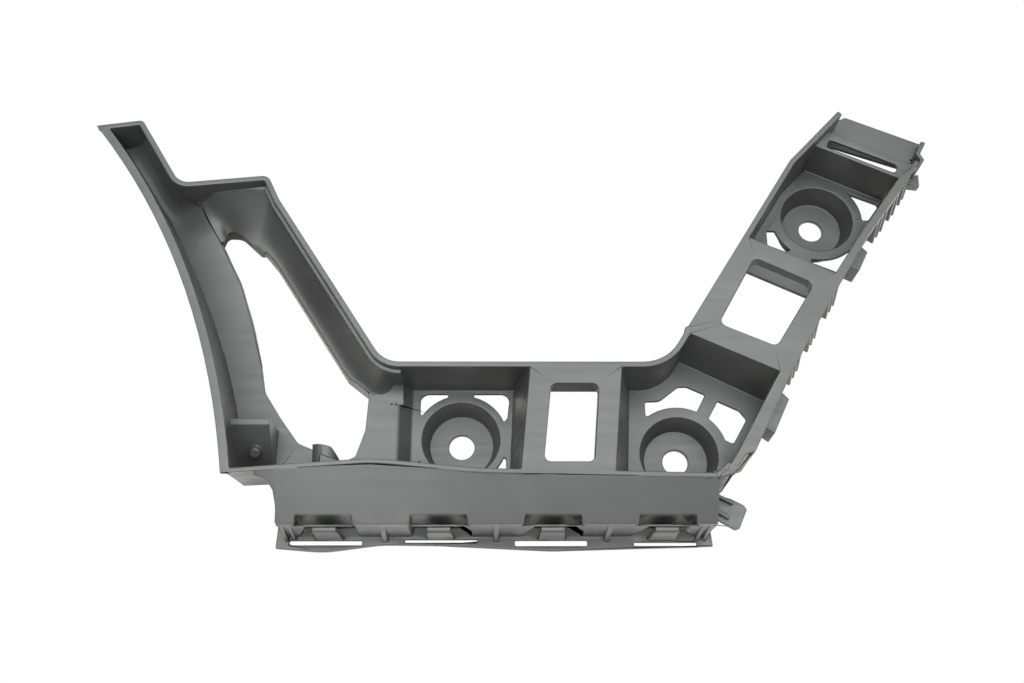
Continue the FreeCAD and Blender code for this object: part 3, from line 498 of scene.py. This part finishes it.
    def skirt(self, edge: np.ndarray, foot: Sequence[Tuple[float, float, float]]) -> np.ndarray:
        """Carry the first rows of an edge straight down to a foot.

        Args:
            edge: Points of the edge.
            foot: Points of the foot, one for each of the first rows.

        Returns:
            The grid between them.
        """
        lower = flowing(np.array(foot), self.steps)
        return np.stack([edge[:len(lower)], lower], axis=1)

    def trough_grids(self) -> List[np.ndarray]:
        """Work out the trough: a smooth patch through the rows, and the straight flank beside the window.

        Returns:
            The grids.
        """
        table = np.array(self.trough)
        left, right = into_wall(table[:, 0:3], self.reach), table[:, 3:6]
        near = left + (right - left) / 3.0
        far = left + (right - left) * 2.0 / 3.0
        near[:, 2], far[:, 2] = table[:, 6], table[:, 7]
        rows = flowing(np.stack([left, near, far, right], axis=1), self.steps)
        patch = flowing(rows.transpose(1, 0, 2), self.steps).transpose(1, 0, 2)
        return [patch, self.skirt(patch[:, -1], self.flank)]

    def bowl_grids(self) -> List[np.ndarray]:
        """Work out the bowl and gutter: each row is the parabola from the wall over the pull point to the edge.

        Returns:
            The grids.
        """
        table = flowing(np.array(self.bowl), self.steps)
        upper = into_wall(table[:, 0:3], self.reach)[:, None]
        pull, lower = table[:, None, 3:6], table[:, None, 6:9]
        v = np.linspace(0.0, 1.0, self.across).reshape(1, -1, 1)
        patch = (1.0 - v) ** 2 * upper + 2.0 * v * (1.0 - v) * pull + v ** 2 * lower
        step = patch[0] - np.array(self.step_drop)
        return [patch, self.skirt(patch[:, -1], self.bowl_foot), np.stack([step, patch[0]], axis=0)]

    def build(self) -> List[bpy.types.Object]:
        """Make both floors.

        Returns:
            The finished pieces.
        """
        pieces = [sheet("trough_floor", self.trough_grids(), self.wall),
                  sheet("shoulder_bowl", self.bowl_grids(), self.wall)]
        for piece in pieces:
            piece.data.materials.append(self.finish)
            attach(piece, "root")
            LOG.info("%s has %d faces", piece.name, len(piece.data.polygons))
        return pieces


@dataclass(frozen=True)
class Lamp:
    """One soft area light.

    Attributes:
        name: Light name.
        place: Position in metres.
        target: Point it is aimed at.
        size: Width and height in metres.
        watts: Power.
        color: Tint.
    """

    name: str
    place: Tuple[float, float, float]
    target: Tuple[float, float, float]
    size: Tuple[float, float]
    watts: float
    color: Color = (1.0, 1.0, 1.0)

    def build(self) -> None:
        """Put the light in the scene."""
        data = bpy.data.lights.new(self.name, "AREA")
        data.shape = "RECTANGLE"
        data.size, data.size_y = self.size
        data.energy = self.watts
        data.color = self.color
        lamp = bpy.data.objects.new(self.name, data)
        bpy.context.scene.collection.objects.link(lamp)
        way = Vector(self.target) - Vector(self.place)
        facing = way.to_track_quat("-Z", "Y").to_matrix().to_4x4()
        lamp.matrix_world = Matrix.Translation(Vector(self.place)) @ facing


@dataclass
class Studio:
    """White table, soft lights and a pale world round the object.

    Attributes:
        floor_level: Height of the table top in metres.
        floor_size: Side of the table top in metres.
        floor_color: Colour of the table where it lights the object.
        sky: Colour of the world's light.
        sky_strength: Strength of the world's light.
        lamps: Lights of the set.
    """

    floor_level: float = 0.0
    floor_size: float = 6.0
    floor_color: Color = (0.80, 0.76, 0.70)
    sky: Color = (0.93, 0.96, 1.0)
    sky_strength: float = 0.55
    lamps: Sequence[Lamp] = field(default_factory=lambda: (
        Lamp("overhead", (-0.10, 0.0, 1.5), (-0.08, 0.03, 0.0), (2.2, 2.4), 74.0, COOL),
        Lamp("left_fill", (-1.5, 0.1, 0.9), (-0.08, 0.05, 0.0), (0.9, 0.9), 5.0, WARM),
        Lamp("right_fill", (1.3, 0.3, 0.8), (-0.08, 0.05, 0.0), (0.9, 0.9), 5.0, WARM),
    ))

    def floor_material(self) -> bpy.types.Material:
        """Pale table that the camera sees as plain white.

        Returns:
            The material.
        """
        material = bpy.data.materials.new("table")
        nodes = Nodes(material)
        rays = nodes.add("ShaderNodeLightPath")
        plain = nodes.add("ShaderNodeBsdfDiffuse", Color=(*self.floor_color, 1.0))
        white = nodes.add("ShaderNodeEmission", Color=(1.0, 1.0, 1.0, 1.0), Strength=1.0)
        mix = nodes.add("ShaderNodeMixShader")
        seen = nodes.math("MAXIMUM", rays.outputs["Is Camera Ray"], rays.outputs["Is Transmission Ray"])
        nodes.link(seen, mix.inputs["Fac"])
        nodes.link(plain.outputs["BSDF"], mix.inputs[1])
        nodes.link(white.outputs["Emission"], mix.inputs[2])
        output = nodes.add("ShaderNodeOutputMaterial")
        nodes.link(mix.outputs["Shader"], output.inputs["Surface"])
        return material

    def world(self) -> None:
        """Give the world a pale, even light and a white camera background."""
        world = bpy.data.worlds.new("studio")
        bpy.context.scene.world = world
        world.use_nodes = True
        tree = world.node_tree
        tree.nodes.clear()
        rays = tree.nodes.new("ShaderNodeLightPath")
        soft = tree.nodes.new("ShaderNodeBackground")
        soft.inputs["Color"].default_value = (*self.sky, 1.0)
        soft.inputs["Strength"].default_value = self.sky_strength
        plain = tree.nodes.new("ShaderNodeBackground")
        plain.inputs["Color"].default_value = (1.0, 1.0, 1.0, 1.0)
        mix = tree.nodes.new("ShaderNodeMixShader")
        output = tree.nodes.new("ShaderNodeOutputWorld")
        tree.links.new(rays.outputs["Is Camera Ray"], mix.inputs["Fac"])
        tree.links.new(soft.outputs[0], mix.inputs[1])
        tree.links.new(plain.outputs[0], mix.inputs[2])
        tree.links.new(mix.outputs[0], output.inputs["Surface"])

    def build(self) -> None:
        """Add the table, the lamps and the world."""
        bpy.ops.mesh.primitive_plane_add(size=self.floor_size, location=(0.0, 0.0, self.floor_level))
        floor = bpy.context.active_object
        floor.name = "table_top"
        floor.data.materials.append(self.floor_material())
        for lamp in self.lamps:
            lamp.build()
        self.world()


@dataclass(frozen=True)
class Viewpoint:
    """The photograph's camera, worked out from the parallel edges and the three cups.

    Attributes:
        place: Camera position in millimetres.
        pitch: Tilt of the view away from straight down, in degrees.
        roll: Turn of the picture about the view, in degrees.
        turn: Turn of the object's frame on the table, in degrees.
        focal_px: Focal length in pixels.
        picture_px: Width of the picture in pixels.
    """

    place: Tuple[float, float, float] = (-87.65, -160.16, 531.1)
    pitch: float = 23.15
    roll: float = 1.52
    turn: float = -1.6
    focal_px: float = 1100.0
    picture_px: float = 1024.0

    def build(self) -> None:
        """Make the camera and use it."""
        tilt = math.radians(self.pitch)
        roll = math.radians(self.roll)
        ahead = Vector((0.0, math.sin(tilt), -math.cos(tilt)))
        above = Vector((0.0, math.cos(tilt), math.sin(tilt)))
        right = Vector((1.0, 0.0, 0.0))
        right_rolled = right * math.cos(roll) + above * math.sin(roll)
        above_rolled = above * math.cos(roll) - right * math.sin(roll)
        turn = Matrix.Rotation(math.radians(self.turn), 3, "Z")
        axes = Matrix((turn @ right_rolled, turn @ above_rolled, turn @ -ahead)).transposed()
        data = bpy.data.cameras.new("camera")
        data.sensor_fit = "HORIZONTAL"
        data.sensor_width = SENSOR_WIDTH
        data.lens = self.focal_px / self.picture_px * SENSOR_WIDTH
        data.clip_start = 0.01
        camera = bpy.data.objects.new("camera", data)
        bpy.context.scene.collection.objects.link(camera)
        camera.matrix_world = Matrix.Translation(Vector(self.place) * MM) @ axes.to_4x4()
        bpy.context.scene.camera = camera


def main() -> None:
    """Build the object and its set."""
    logging.basicConfig(level=logging.INFO)
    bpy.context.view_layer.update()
    plastic = moulded_material(MOULDED)
    Moulding(plastic).build()
    FlowingFloors(plastic).build()
    Studio().build()
    Viewpoint().build()
    bpy.context.scene.view_settings.view_transform = "Standard"


if __name__ == "__main__":
    main()
